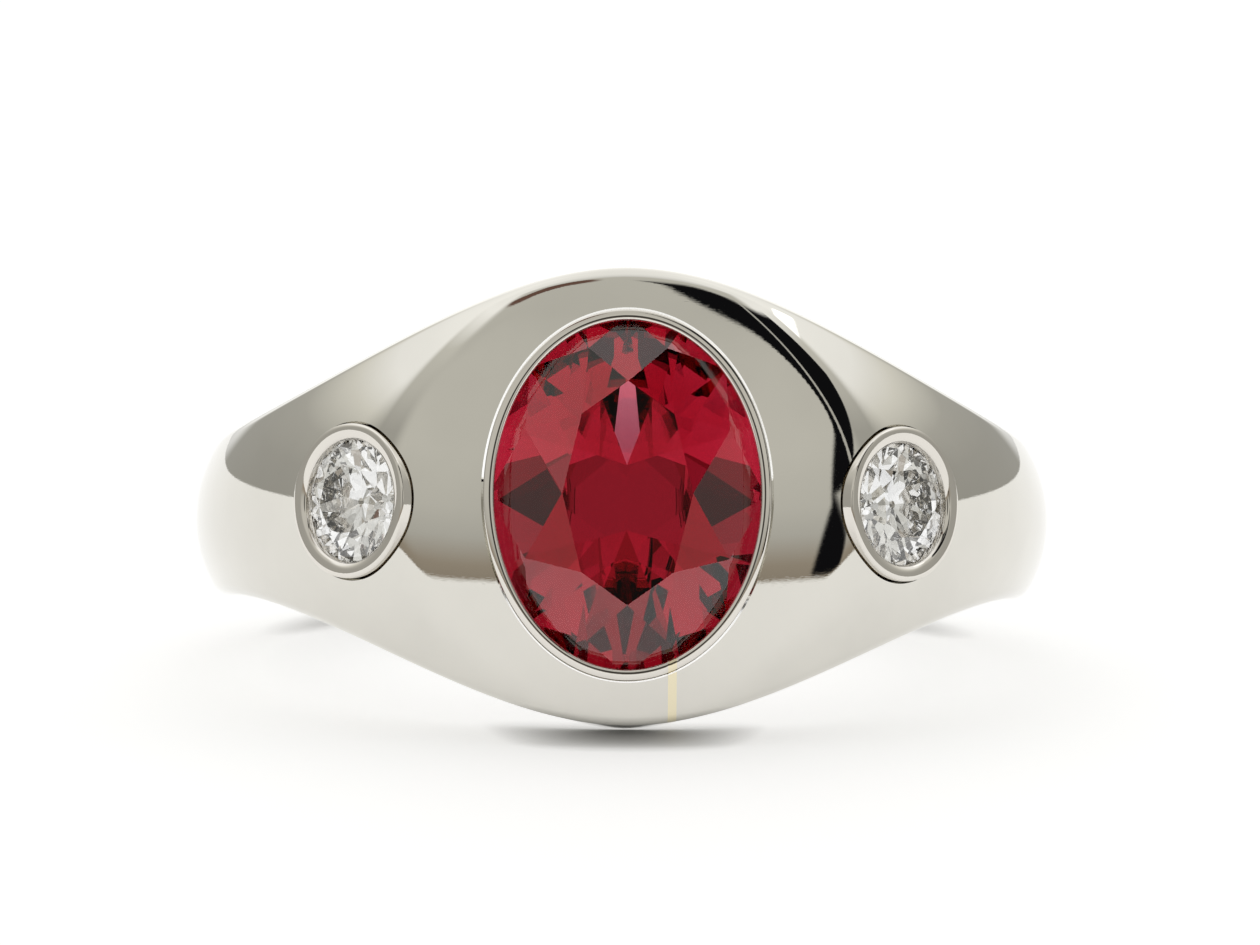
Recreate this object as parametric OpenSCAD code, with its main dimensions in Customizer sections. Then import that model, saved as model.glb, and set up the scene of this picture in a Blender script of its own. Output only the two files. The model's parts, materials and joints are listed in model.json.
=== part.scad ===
// Gypsy-set cocktail ring: an oval ruby between two round diamonds, each in a rub-over collet.
// The ring lies on a table as it does when it is put down: it rests on the lower edge of the head
// and on the lower edge of the shank behind it. The origin is the centre of the finger hole.

/* [Shank] */
// Diameter of the finger hole
bore_d = 17.3; // [16:0.1:20]
// Thickness of the shank at the sides and behind
shank_thick = 1.5; // [1.4:0.05:1.8]
// Width of the shank at the sides
side_w = 3.74; // [3.2:0.02:4]
// Width of the shank behind
back_w = 2.9; // [2.5:0.1:3.2]

/* [Head] */
// Width of the head along the finger
head_w = 10.5; // [10.2:0.1:11]
// Metal between the finger hole and the middle of the head's face
head_rise = 3.45; // [3.4:0.05:3.8]
// Radius of curvature of the head's face
face_r = 16; // [14:0.5:20]
// Height of the shoulders' crest above the shank, carried on to the middle of the head
shoulder_rise = 2.88; // [2.7:0.02:3]
// Angle over which the shoulders grow narrow
flare_angle = 35.8; // [33:0.2:37]
// Rounding of the upper and lower rims
rim_r = 0.25; // [0.2:0.01:0.3]

/* [Ruby] */
// Length of the ruby along the finger
ruby_l = 8.25; // [8:0.05:8.3]
// Width of the ruby across the finger
ruby_w = 6.35; // [6:0.05:6.5]
// Height of the ruby above its girdle
ruby_crown = 1.05; // [0.9:0.05:1.2]
// Depth of the ruby below its girdle
ruby_pavilion = 2.45; // [2.2:0.05:2.45]
// Length of the keel that the ruby's lower facets meet in
ruby_keel = 1.5; // [1:0.1:2]

/* [Diamonds] */
// Diameter of each diamond
diamond_d = 3.06; // [2.8:0.02:3.1]
// Angle of each diamond round the finger, measured from the middle of the head
diamond_angle = 32; // [31:0.1:33]
// How far the diamonds lie below the band's crest line
diamond_low = 0.1; // [0:0.02:0.2]
// Height of each diamond above its girdle
diamond_crown = 0.48; // [0.4:0.02:0.56]
// Depth of each diamond below its girdle
diamond_pavilion = 1.32; // [1.2:0.02:1.36]

/* [Settings] */
// Wall of the ruby's collet round the girdle
ruby_wall = 0.12; // [0.1:0.01:0.15]
// Wall of a diamond's collet round the girdle
diamond_wall = 0.25; // [0.2:0.01:0.3]
// How far a lip reaches in over its stone
lip_over = 0.13; // [0.1:0.01:0.16]
// How far the lip of the ruby's collet stands above the head's face
lip_proud = 0.1; // [0.05:0.01:0.15]
// Width of the solder seam
seam_w = 0.2; // [0.15:0.01:0.25]
// Distance of the solder seam from the middle of the head
seam_x = 1.05; // [0.8:0.05:1.2]

/* [Hidden] */

white_gold = [0.75, 0.74, 0.71];
pale_solder = [0.87, 0.82, 0.66];
ruby_red = [0.62, 0.04, 0.1];
diamond_white = [0.93, 0.95, 0.97];

bore_r = bore_d / 2;
head_half_w = head_w / 2;
side_half_w = side_w / 2;
back_half_w = back_w / 2;
// The crest's falling-off from head to side, as a power of the cosine
crest_power = 2.04;
// How quickly the head's flare falls off, as a power of the angle
flare_power = 1.93;
// Half-angle at the side where the shank starts to taper towards the back
taper_start = 70;
// Radius of the domed cross-section, as a multiple of the half-width
dome_ratio = 1.72;
// Width of the soft edge between the head's face and the shoulders
face_blend = 0.15;
// The face's centre of curvature, behind the centre of the finger hole
face_back = face_r - bore_r - head_rise;

// Steps round the ring, across the dome and round a rim
around = 96;
across = 10;
rim_steps = 2;
oval_steps = 72;
hole_steps = 96;
face_steps = 128;
collet_steps = 64;
azure_steps = 32;

// Gap that keeps a piece clear of its neighbour's slope
slack = 0.02;
// Height of the girdle's edge on each stone
girdle_h = 0.08;
// Depth of a lip above the girdle before it closes over the stone
lip_rise = 0.12;
// How far the tools that cut a hole run past the metal
past = 1;
// Clearance of the ruby's keel from the finger
culet_gap = 0.15;

function folded(t) = abs(t > 180 ? t - 360 : t);
function ease(u) = let (c = min(max(u, 0), 1)) c * c * (3 - 2 * c);
function soft_min(a, b, k) = let (h = max(k - abs(a - b), 0) / k) min(a, b) - h * h * k / 4;

// Half-width of the band at the angle t from the middle of the head
function half_w(t) = let (a = folded(t))
    side_half_w - (side_half_w - back_half_w) * ease((a - taper_start) / (180 - taper_start))
    + (head_half_w - side_half_w) * exp(-pow(a / flare_angle, flare_power));

// Distance of the band's crest from the centre of the finger hole, before the face is cut
function crest(t) = bore_r + shank_thick + shoulder_rise * pow(max(cos(t), 0), crest_power);

// The domed band, the face of the head, and the two of them blended
function dome(t, z) = let (r = half_w(t) * dome_ratio) crest(t) - r + sqrt(r * r - z * z);
function face(t, z) = sqrt(face_r * face_r - z * z - pow(face_back * sin(t), 2)) - face_back * cos(t);
function skin(t, z) = soft_min(dome(t, z), face(t, z), face_blend);

// The skin with its rims rounded off
function rim_drop(t, z) = let (u = max(abs(z) - half_w(t) + rim_r, 0) / rim_r)
    rim_r * (1 - sqrt(max(1 - u * u, 0)));
function outside(t, z) = skin(t, z) - rim_drop(t, z);

// The ring leans back until the head's lower edge and the back's lower edge are level
rest_tilt = atan((head_half_w - back_half_w) / (bore_r + outside(180, back_half_w)));

// Heights across the band where the skin is sampled, from one rim to the other
function heights(t) = let (w = half_w(t), flat = w - rim_r)
    concat([for (i = [0:rim_steps - 1]) -flat - rim_r * cos(90 * i / rim_steps)],
        [for (i = [0:across]) flat * (2 * i / across - 1)],
        [for (i = [rim_steps - 1:-1:0]) flat + rim_r * cos(90 * i / rim_steps)]);

function section(t) = let (w = half_w(t), inside = bore_r - past)
    concat([[inside, -w]], [for (z = heights(t)) [outside(t, z), z]], [[inside, w]]);

function on_ring(t, p) = [p[0] * sin(t), -p[0] * cos(t), p[1]];

// Solid band without any hole or setting
module band() {
    sections = [for (i = [0:around - 1]) let (t = 360 * i / around) [for (p = section(t)) on_ring(t, p)]];
    n = len(sections[0]);
    points = [for (s = sections) each s];
    faces = [for (i = [0:around - 1], j = [0:n - 1])
        let (here = i * n, ahead = (i + 1) % around * n, k = (j + 1) % n)
        each [[here + j, here + k, ahead + k], [here + j, ahead + k, ahead + j]]];
    polyhedron(points, faces);
}

module finger_hole() {
    cylinder(r = bore_r, h = head_w + 2 * past, center = true, $fn = hole_steps);
}

function oval(a, b) = [for (i = [0:oval_steps - 1]) let (t = 360 * i / oval_steps) [a * cos(t), b * sin(t)]];

// Upright oval block with half-axes a and b, from z0 to z1
module oval_block(a, b, z0, z1) {
    translate([0, 0, z0]) linear_extrude(z1 - z0) polygon(oval(a, b));
}

// Round block of radius r from z0 to z1
module drum(r, z0, z1, steps) {
    translate([0, 0, z0]) cylinder(r = r, h = z1 - z0, $fn = steps);
}

// Puts a setting at x across the head and y out from the finger, its own Z axis pointing outwards
module set_at(x, y, normal) {
    translate([x, -y, 0]) rotate([0, 0, normal]) rotate([90, 0, 0]) children();
}

// Half-axes of the ruby and the height of its girdle above the centre of the finger hole
ruby_a = ruby_w / 2;
ruby_b = ruby_l / 2;
ruby_y = bore_r + culet_gap + ruby_pavilion;
// Reach of the bearing's ledge under the ruby
bearing_w = 0.85;

module at_head() {
    set_at(0, 0, 0) children();
}

// The diamonds' place on the crest, and the direction that they face
diamond_r = skin(diamond_angle, 0);
crest_slope = (skin(diamond_angle + 1, 0) - skin(diamond_angle - 1, 0)) / 2 * 180 / PI;
diamond_normal = diamond_angle - atan(crest_slope / diamond_r);
diamond_x = diamond_r * sin(diamond_angle);
diamond_y = diamond_r * cos(diamond_angle);
diamond_outer = diamond_d / 2 + diamond_wall;
// The collet's rim lies below the crest, and its girdle below the rim
collet_sink = 0.08;
girdle_sink = 0.4;
collet_deep = 1.95;
// Hole that opens the back of each collet to the finger hole
azure_r = 0.8;
azure_deep = 6.9;

module at_shoulder(side) {
    translate([0, 0, -diamond_low]) set_at(side * diamond_x, diamond_y, side * diamond_normal) children();
}

// Share of the stone's radius out to the corners of its lower girdle facets
low_reach = 0.24;
// The ruby's table across and along the stone, and a diamond's, as shares of its outline
ruby_table = [0.47, 0.62];
diamond_table = [0.54, 0.54];

// Corners of a brilliant cut with half-axes a and b, its girdle's lower edge at height 0
function brilliant(a, b, crown, pavilion, table, keel) =
    let (half = 360 / 16,
        star = [for (share = table) (share * cos(half) + 1) / 2],
        slope = (crown - girdle_h) / (1 - table[0]),
        star_h = girdle_h + (1 - star[0] * cos(half)) * slope,
        low_h = -pavilion * (1 - low_reach * cos(half)))
    concat([for (i = [0:2:15]) [a * table[0] * cos(half * i), b * table[1] * sin(half * i), crown]],
        [for (i = [1:2:15]) [a * star[0] * cos(half * i), b * star[1] * sin(half * i), star_h]],
        [for (i = [0:15], h = [0, girdle_h]) [a * cos(half * i), b * sin(half * i), h]],
        [for (i = [1:2:15]) [a * low_reach * cos(half * i), (b - keel) * low_reach * sin(half * i)
            + keel * sign(sin(half * i)), low_h]],
        [for (s = [-1, 1]) [0, s * keel, -pavilion]]);

module stone(a, b, crown, pavilion, table, keel) {
    corners = brilliant(a, b, crown, pavilion, table, keel);
    hull() polyhedron(corners, [[for (i = [0:len(corners) - 1]) i]]);
}

// Thin upright sheet where the seam runs down from the middle of the ruby
module seam_sheet() {
    translate([seam_x - seam_w / 2, -(bore_r + head_rise + past), -head_half_w - past])
        cube([seam_w, head_rise + 2 * past, head_half_w + past]);
}

module ruby_seat() {
    at_head() oval_block(ruby_a + ruby_wall, ruby_b + ruby_wall, bore_r - past, bore_r + head_rise + past);
}

module diamond_seat() {
    drum(diamond_outer, -collet_deep, past, collet_steps);
    drum(azure_r, -azure_deep, 0, azure_steps);
}

// Shank, shoulders and head in one piece of metal
module ring_body() {
    color(white_gold) lying() difference() {
        band();
        finger_hole();
        ruby_seat();
        for (side = [-1, 1]) at_shoulder(side) diamond_seat();
        seam_sheet();
    }
}

// Oval tube with a lip that follows the head's face
module collet_tube() {
    difference() {
        ruby_seat();
        at_head() oval_block(ruby_a, ruby_b, bore_r - 2 * past, ruby_y + girdle_h + lip_rise);
        at_head() oval_block(ruby_a - lip_over, ruby_b - lip_over, bore_r, bore_r + head_rise + 2 * past);
        finger_hole();
        above_face(lip_proud);
    }
}

// Everything above a surface that lies the given height over the head's face
module above_face(h) {
    difference() {
        translate([-ruby_w, -(bore_r + head_rise + 2 * past), -ruby_l])
            cube([2 * ruby_w, head_rise + 2 * past, 2 * ruby_l]);
        translate([0, face_back, 0]) sphere(r = face_r + h, $fn = face_steps);
    }
}

module ruby_collet() {
    color(white_gold) lying() difference() {
        collet_tube();
        seam_sheet();
    }
}

// Ledge inside the collet that carries the ruby
module ruby_bearing() {
    ledge_drop = bearing_w * ruby_pavilion / (ruby_a - bearing_w);
    color(white_gold) lying() difference() {
        at_head() oval_block(ruby_a, ruby_b, bore_r - past, ruby_y - ledge_drop);
        at_head() oval_block(ruby_a - bearing_w, ruby_b - bearing_w, bore_r - 2 * past, ruby_y + past);
        finger_hole();
    }
}

module ruby() {
    color(ruby_red) lying() at_head() translate([0, 0, ruby_y])
        stone(ruby_a, ruby_b, ruby_crown, ruby_pavilion, ruby_table, ruby_keel / 2);
}

// Round tube let into the shoulder, with a ledge under the girdle and a lip over it
module diamond_collet() {
    girdle = -collet_sink - girdle_sink;
    ledge_r = diamond_d / 2 - diamond_wall;
    ledge_drop = diamond_wall * diamond_pavilion / (diamond_d / 2);
    difference() {
        drum(diamond_outer, -collet_deep, -collet_sink, collet_steps);
        drum(ledge_r, -collet_deep - past, past, collet_steps);
        drum(diamond_d / 2, girdle - ledge_drop - slack, girdle + girdle_h + lip_rise, collet_steps);
        drum(diamond_d / 2 - lip_over, girdle, past, collet_steps);
    }
}

module diamond() {
    translate([0, 0, -collet_sink - girdle_sink])
        stone(diamond_d / 2, diamond_d / 2, diamond_crown, diamond_pavilion, diamond_table, 0);
}

module left_diamond_collet() {
    color(white_gold) lying() at_shoulder(-1) diamond_collet();
}

module right_diamond_collet() {
    color(white_gold) lying() at_shoulder(1) diamond_collet();
}

module left_diamond() {
    color(diamond_white) lying() at_shoulder(-1) diamond();
}

module right_diamond() {
    color(diamond_white) lying() at_shoulder(1) diamond();
}

// Seam that closes the lower wall of the head
module head_solder_seam() {
    color(pale_solder) lying() difference() {
        intersection() {
            band();
            seam_sheet();
        }
        finger_hole();
        ruby_seat();
    }
}

// Seam that closes the collet's oval strip
module collet_solder_seam() {
    color(pale_solder) lying() intersection() {
        collet_tube();
        seam_sheet();
    }
}

// The resting position
module lying() {
    rotate([-rest_tilt, 0, 0]) children();
}

ring_body();
ruby_collet();
ruby_bearing();
ruby();
left_diamond_collet();
left_diamond();
right_diamond_collet();
right_diamond();
head_solder_seam();
collet_solder_seam();
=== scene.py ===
"""Gypsy-set cocktail ring: polished white gold, an oval ruby and two round diamonds in rub-over collets."""

import json
import math

import bmesh
import bpy
import numpy as np
from bpy.props import FloatProperty, FloatVectorProperty, PointerProperty
from mathutils import Matrix, Vector
from mathutils.bvhtree import BVHTree


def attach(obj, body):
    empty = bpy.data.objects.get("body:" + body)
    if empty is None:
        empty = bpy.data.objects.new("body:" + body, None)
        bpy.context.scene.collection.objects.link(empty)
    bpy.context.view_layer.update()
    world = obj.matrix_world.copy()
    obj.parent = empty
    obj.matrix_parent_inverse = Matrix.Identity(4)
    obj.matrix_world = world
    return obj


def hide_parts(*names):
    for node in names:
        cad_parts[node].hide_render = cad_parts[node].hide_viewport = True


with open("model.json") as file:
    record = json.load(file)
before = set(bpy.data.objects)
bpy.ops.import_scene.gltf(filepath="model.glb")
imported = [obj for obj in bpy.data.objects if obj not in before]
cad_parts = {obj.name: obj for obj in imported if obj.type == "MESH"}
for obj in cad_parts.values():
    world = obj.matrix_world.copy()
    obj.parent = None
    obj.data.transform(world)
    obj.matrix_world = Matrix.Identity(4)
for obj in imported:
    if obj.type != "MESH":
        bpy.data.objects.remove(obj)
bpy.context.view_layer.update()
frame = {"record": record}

bl_info = {
    "name": "Gypsy-set cocktail ring",
    "version": (1, 0, 0),
    "blender": (4, 5, 0),
    "location": "View3D > Sidebar > Ring",
    "description": "Builds a domed white-gold ring with a ruby and two diamonds",
    "category": "Add Mesh",
}

BODY = "root"
BORE = frame["record"]["mounts"][0]
BORE_R = BORE["dims"]["r_mm"] / 1000
MM = 0.001
# The finger hole's axis leans back from upright by this angle when the ring lies on a table
LEAN = math.atan2(BORE["axis"][1], BORE["axis"][2])
LYING = Matrix.Rotation(-LEAN, 4, "X")


def length(name, description, default):
    return FloatProperty(name=name, description=description, default=default, unit="LENGTH", precision=5)


def angle(name, description, degrees):
    return FloatProperty(name=name, description=description, default=math.radians(degrees), unit="ROTATION")


def colour(name, description, default):
    return FloatVectorProperty(name=name, description=description, default=default, subtype="COLOR", size=3,
                               min=0.0, max=1.0)


class BandSizes(bpy.types.PropertyGroup):
    """Sizes of the shank, the shoulders and the head"""

    bore: length("Finger hole radius", "Radius of the finger hole", BORE_R)
    thick: length("Shank thickness", "Thickness of the shank at the sides and behind", 1.5 * MM)
    side: length("Side half-width", "Half the shank's width at the sides", 1.87 * MM)
    back: length("Back half-width", "Half the shank's width behind", 1.45 * MM)
    head: length("Head half-width", "Half the head's width along the finger", 5.25 * MM)
    rise: length("Head rise", "Metal between the finger hole and the middle of the face", 3.45 * MM)
    face: length("Face radius", "Radius of curvature of the head's face", 16 * MM)
    shoulder: length("Shoulder rise", "Height of the shoulders' crest above the shank", 2.88 * MM)
    flare: angle("Flare", "Angle over which the shoulders grow narrow", 35.8)
    taper: angle("Taper start", "Angle at which the shank starts to taper towards the back", 70)
    rim: length("Rim rounding", "Rounding of the upper and lower rims", 0.25 * MM)
    edge: length("Hole rounding", "Rounding of the finger hole's edges", 0.09 * MM)
    blend: length("Face blend", "Width of the soft edge between the face and the shoulders", 0.15 * MM)


class StoneSizes(bpy.types.PropertyGroup):
    """Sizes of the stones and of their collets"""

    ruby_w: length("Ruby half-width", "Half the ruby's width across the finger", 3.175 * MM)
    ruby_l: length("Ruby half-length", "Half the ruby's length along the finger", 4.125 * MM)
    ruby_crown: length("Ruby crown", "Height of the ruby above its girdle", 1.05 * MM)
    ruby_pavilion: length("Ruby pavilion", "Depth of the ruby below its girdle", 2.45 * MM)
    ruby_keel: length("Ruby keel", "Half the length of the keel under the ruby", 0.75 * MM)
    ruby_wall: length("Ruby collet wall", "Wall of the ruby's collet round the girdle", 0.12 * MM)
    diamond_r: length("Diamond radius", "Radius of each diamond", 1.53 * MM)
    diamond_crown: length("Diamond crown", "Height of a diamond above its girdle", 0.48 * MM)
    diamond_pavilion: length("Diamond pavilion", "Depth of a diamond below its girdle", 1.32 * MM)
    diamond_wall: length("Diamond collet wall", "Wall of a diamond's collet round the girdle", 0.25 * MM)
    diamond_turn: angle("Diamond angle", "Angle of each diamond round the finger", 32)
    diamond_low: length("Diamond drop", "How far the diamonds lie below the crest line", 0.1 * MM)
    lip: length("Lip", "How far a lip reaches in over its stone", 0.13 * MM)
    joint: length("Joint gap", "Width of the joint line round a collet", 0.05 * MM)
    seam_x: length("Seam place", "Distance of the solder seam from the middle of the head", 1.05 * MM)
    seam_w: length("Seam width", "Width of the solder seam", 0.2 * MM)


class Finish(bpy.types.PropertyGroup):
    """Colours and polish of the materials"""

    gold: colour("White gold", "Colour of the polished white gold", (0.715, 0.697, 0.647))
    collet: colour("Collet gold", "Colour of the collets", (0.76, 0.73, 0.68))
    solder: colour("Solder", "Colour of the solder seams", (0.84, 0.765, 0.56))
    ruby: colour("Ruby", "Colour that the ruby lets through", (0.81, 0.05, 0.26))
    ruby_density: FloatProperty(name="Ruby depth", description="How quickly the ruby takes up light",
                                default=640.0, subtype="UNSIGNED", min=0.0)
    polish: FloatProperty(name="Polish", description="Roughness of the polished metal",
                          default=0.014, subtype="FACTOR", min=0.0, max=1.0)


GROUPS = {"band_sizes": BandSizes, "stone_sizes": StoneSizes, "ring_finish": Finish}


# ---------------------------------------------------------------- numbers that nodes work out

class Num:
    """A number in a node tree, so that one formula serves the nodes and numpy alike."""

    def __init__(self, tree, source):
        self.tree, self.source = tree, source

    def _math(self, operation, *values):
        node = self.tree.nodes.new("ShaderNodeMath")
        node.operation = operation
        for slot, value in zip(node.inputs, values):
            if isinstance(value, Num):
                self.tree.links.new(value.source, slot)
            else:
                slot.default_value = value
        return Num(self.tree, node.outputs[0])

    def __add__(self, other): return self._math("ADD", self, other)
    def __radd__(self, other): return self._math("ADD", other, self)
    def __sub__(self, other): return self._math("SUBTRACT", self, other)
    def __rsub__(self, other): return self._math("SUBTRACT", other, self)
    def __mul__(self, other): return self._math("MULTIPLY", self, other)
    def __rmul__(self, other): return self._math("MULTIPLY", other, self)
    def __truediv__(self, other): return self._math("DIVIDE", self, other)
    def __rtruediv__(self, other): return self._math("DIVIDE", other, self)
    def __pow__(self, power): return self._math("POWER", self, power)
    def __neg__(self): return self._math("MULTIPLY", self, -1.0)
    def __abs__(self): return self._math("ABSOLUTE", self)


def _either(operation, plain):
    """A function that is a Math node for node numbers and numpy's own for the rest."""
    def run(*values):
        nodes = [v for v in values if isinstance(v, Num)]
        return nodes[0]._math(operation, *values) if nodes else plain(*values)
    return run


sin = _either("SINE", np.sin)
cos = _either("COSINE", np.cos)
root = _either("SQRT", np.sqrt)
power_e = _either("EXPONENT", np.exp)
least = _either("MINIMUM", np.minimum)
most = _either("MAXIMUM", np.maximum)
sign_of = _either("SIGN", np.sign)
floor_of = _either("FLOOR", np.floor)
remainder = _either("FLOORED_MODULO", np.mod)


def clamp(x):
    return least(most(x, 0.0), 1.0)


# ---------------------------------------------------------------- the shape of the band

# The crest's falling-off from head to side, as a power of the cosine
CREST_POWER = 2.04
# How quickly the head's flare falls off, as a power of the angle
FLARE_POWER = 1.93
# Radius of the domed cross-section, as a multiple of the half-width
DOME_RATIO = 1.72
QUARTER = math.pi / 2
# Points round the band, and from edge to edge of its section
BAND_AROUND, BAND_SECTION = 441, 145


def ease(x):
    """0 below 0 and 1 above 1, with a smooth step between them."""
    c = clamp(x)
    return c * c * (3.0 - 2.0 * c)


def half_width(s, t):
    """Half-width of the band at the angle t from the middle of the head."""
    a = abs(t)
    taper = (s["side"] - s["back"]) * ease((a - s["taper"]) / (math.pi - s["taper"]))
    return s["side"] - taper + (s["head"] - s["side"]) * power_e(-((a / s["flare"]) ** FLARE_POWER))


def crest(s, t):
    """The crest's distance from the middle of the finger hole, before the face is cut."""
    return s["bore"] + s["thick"] + s["shoulder"] * most(cos(t), 0.0) ** CREST_POWER


def skin(s, t, z):
    """The domed band with the face cut in the head and a soft edge between the two."""
    radius = half_width(s, t) * DOME_RATIO
    dome = crest(s, t) - radius + root(radius * radius - z * z)
    behind = s["face"] - s["bore"] - s["rise"]
    across = behind * sin(t)
    face = root(s["face"] * s["face"] - z * z - across * across) - behind * cos(t)
    near = most(s["blend"] - abs(dome - face), 0.0)
    return least(dome, face) - near * near / (4.0 * s["blend"])


# Spans of the section's own measure, from the crest over the rim and the wall to the finger hole
SPANS = (5.0, 1.0, 1.0, 0.7, 1.3)
HALF_SECTION = sum(SPANS)


def section(s, t, p, side):
    """Radius and height at the measure p along half of the section, on the upper or lower side."""
    starts = [sum(SPANS[:i]) for i in range(len(SPANS))]
    face, rim, wall, edge, hole = (clamp((p - a) / n) for a, n in zip(starts, SPANS))
    w = half_width(s, t)
    flat = w - s["rim"]
    outer_z = flat * face + s["rim"] * sin(rim * QUARTER)
    rim_foot = skin(s, t, w) - s["rim"]
    radius = (skin(s, t, outer_z) - s["rim"] * (1.0 - cos(rim * QUARTER))
              - wall * (rim_foot - s["bore"] - s["edge"]) - s["edge"] * sin(edge * QUARTER))
    height = outer_z - s["edge"] * (1.0 - cos(edge * QUARTER)) - hole * (w - s["edge"])
    return radius, side * height


def band_values(scene):
    """The band's sizes as plain numbers."""
    sizes = scene.band_sizes
    return {name: getattr(sizes, name) for name in BandSizes.__annotations__}


# ---------------------------------------------------------------- meshes

def new_mesh_object(name, mesh):
    """Puts a mesh in the scene."""
    piece = bpy.data.objects.new(name, mesh)
    bpy.context.scene.collection.objects.link(piece)
    return piece


def from_bmesh(name, bm, place=None):
    """Turns a bmesh in the ring's own frame into an object that lies as the ring lies."""
    if place is not None:
        bm.transform(place)
    bm.transform(LYING)
    bmesh.ops.recalc_face_normals(bm, faces=bm.faces)
    if bm.calc_volume(signed=True) < 0:
        bmesh.ops.reverse_faces(bm, faces=bm.faces)
    mesh = bpy.data.meshes.new(name)
    bm.to_mesh(mesh)
    bm.free()
    return new_mesh_object(name, mesh)


def keep_only_mesh(piece):
    """Applies a piece's modifiers and leaves a plain mesh."""
    graph = bpy.context.evaluated_depsgraph_get()
    graph.update()
    mesh = bpy.data.meshes.new_from_object(piece.evaluated_get(graph))
    piece.modifiers.clear()
    piece.data = mesh
    return piece


def dress(piece, material):
    """Gives a piece its one material and its slot, and rides it on the ring's body."""
    piece.data.materials.clear()
    piece.data.materials.append(material)
    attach(piece, BODY)


def band_tree():
    """Geometry Nodes: a grid bent into the closed, domed and flared band."""
    tree = bpy.data.node_groups.new("Ring band", "GeometryNodeTree")
    sockets = tree.interface
    sockets.new_socket("Geometry", in_out="INPUT", socket_type="NodeSocketGeometry")
    sockets.new_socket("Around", in_out="INPUT", socket_type="NodeSocketInt")
    sockets.new_socket("Section", in_out="INPUT", socket_type="NodeSocketInt")
    sockets.new_socket("Lean", in_out="INPUT", socket_type="NodeSocketFloat")
    sockets.new_socket("Metal", in_out="INPUT", socket_type="NodeSocketMaterial")
    for name in BandSizes.__annotations__:
        sockets.new_socket(name, in_out="INPUT", socket_type="NodeSocketFloat")
    sockets.new_socket("Geometry", in_out="OUTPUT", socket_type="NodeSocketGeometry")
    nodes, link = tree.nodes, tree.links.new
    given = nodes.new("NodeGroupInput")
    done = nodes.new("NodeGroupOutput")
    s = {name: Num(tree, given.outputs[name]) for name in BandSizes.__annotations__}

    grid = nodes.new("GeometryNodeMeshGrid")
    grid.inputs["Size X"].default_value = 2.0
    grid.inputs["Size Y"].default_value = 2.0
    link(given.outputs["Around"], grid.inputs["Vertices X"])
    link(given.outputs["Section"], grid.inputs["Vertices Y"])
    place = nodes.new("GeometryNodeInputPosition")
    split = nodes.new("ShaderNodeSeparateXYZ")
    link(place.outputs[0], split.inputs[0])
    u, v = Num(tree, split.outputs["X"]), Num(tree, split.outputs["Y"])

    t = math.pi * u * (0.5 + 0.5 * u * u)
    p = HALF_SECTION * abs(v)
    radius, height = section(s, t, p, sign_of(v))
    x, y = radius * sin(t), -(radius * cos(t))
    lean = Num(tree, given.outputs["Lean"])
    join = nodes.new("ShaderNodeCombineXYZ")
    link(x.source, join.inputs["X"])
    link((y * cos(lean) + height * sin(lean)).source, join.inputs["Y"])
    link((height * cos(lean) - y * sin(lean)).source, join.inputs["Z"])

    bend = nodes.new("GeometryNodeSetPosition")
    link(grid.outputs["Mesh"], bend.inputs["Geometry"])
    link(join.outputs[0], bend.inputs["Position"])
    finish_tree(tree, bend.outputs[0], given.outputs["Metal"], done)
    return tree


def set_inputs(modifier, values):
    """Sets a Geometry Nodes modifier's inputs by their identifiers."""
    for item in modifier.node_group.interface.items_tree:
        if item.item_type == "SOCKET" and item.in_out == "INPUT" and item.name in values:
            modifier[item.identifier] = values[item.name]


def band_object(scene, metal):
    """The whole band, before the seats are cut in it."""
    piece = new_mesh_object("ring_band", bpy.data.meshes.new("ring_band"))
    modifier = piece.modifiers.new("Band", "NODES")
    modifier.node_group = band_tree()
    inputs = band_values(scene)
    inputs.update({"Around": BAND_AROUND, "Section": BAND_SECTION, "Lean": LEAN, "Metal": metal})
    set_inputs(modifier, inputs)
    keep_only_mesh(piece)
    bm = bmesh.new()
    bm.from_mesh(piece.data)
    bmesh.ops.recalc_face_normals(bm, faces=bm.faces)
    bm.to_mesh(piece.data)
    bm.free()
    return piece


def oval_block(a, b, low, high, steps=240):
    """Upright oval block along the ring's -Y, in the ring's own frame."""
    bm = bmesh.new()
    turns = [2 * math.pi * i / steps for i in range(steps)]
    foot = [bm.verts.new((a * math.cos(t), -low, b * math.sin(t))) for t in turns]
    top = [bm.verts.new((a * math.cos(t), -high, b * math.sin(t))) for t in turns]
    for i in range(steps):
        j = (i + 1) % steps
        bm.faces.new((foot[i], foot[j], top[j], top[i]))
    bm.faces.new(foot[::-1])
    bm.faces.new(top)
    return bm


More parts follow.
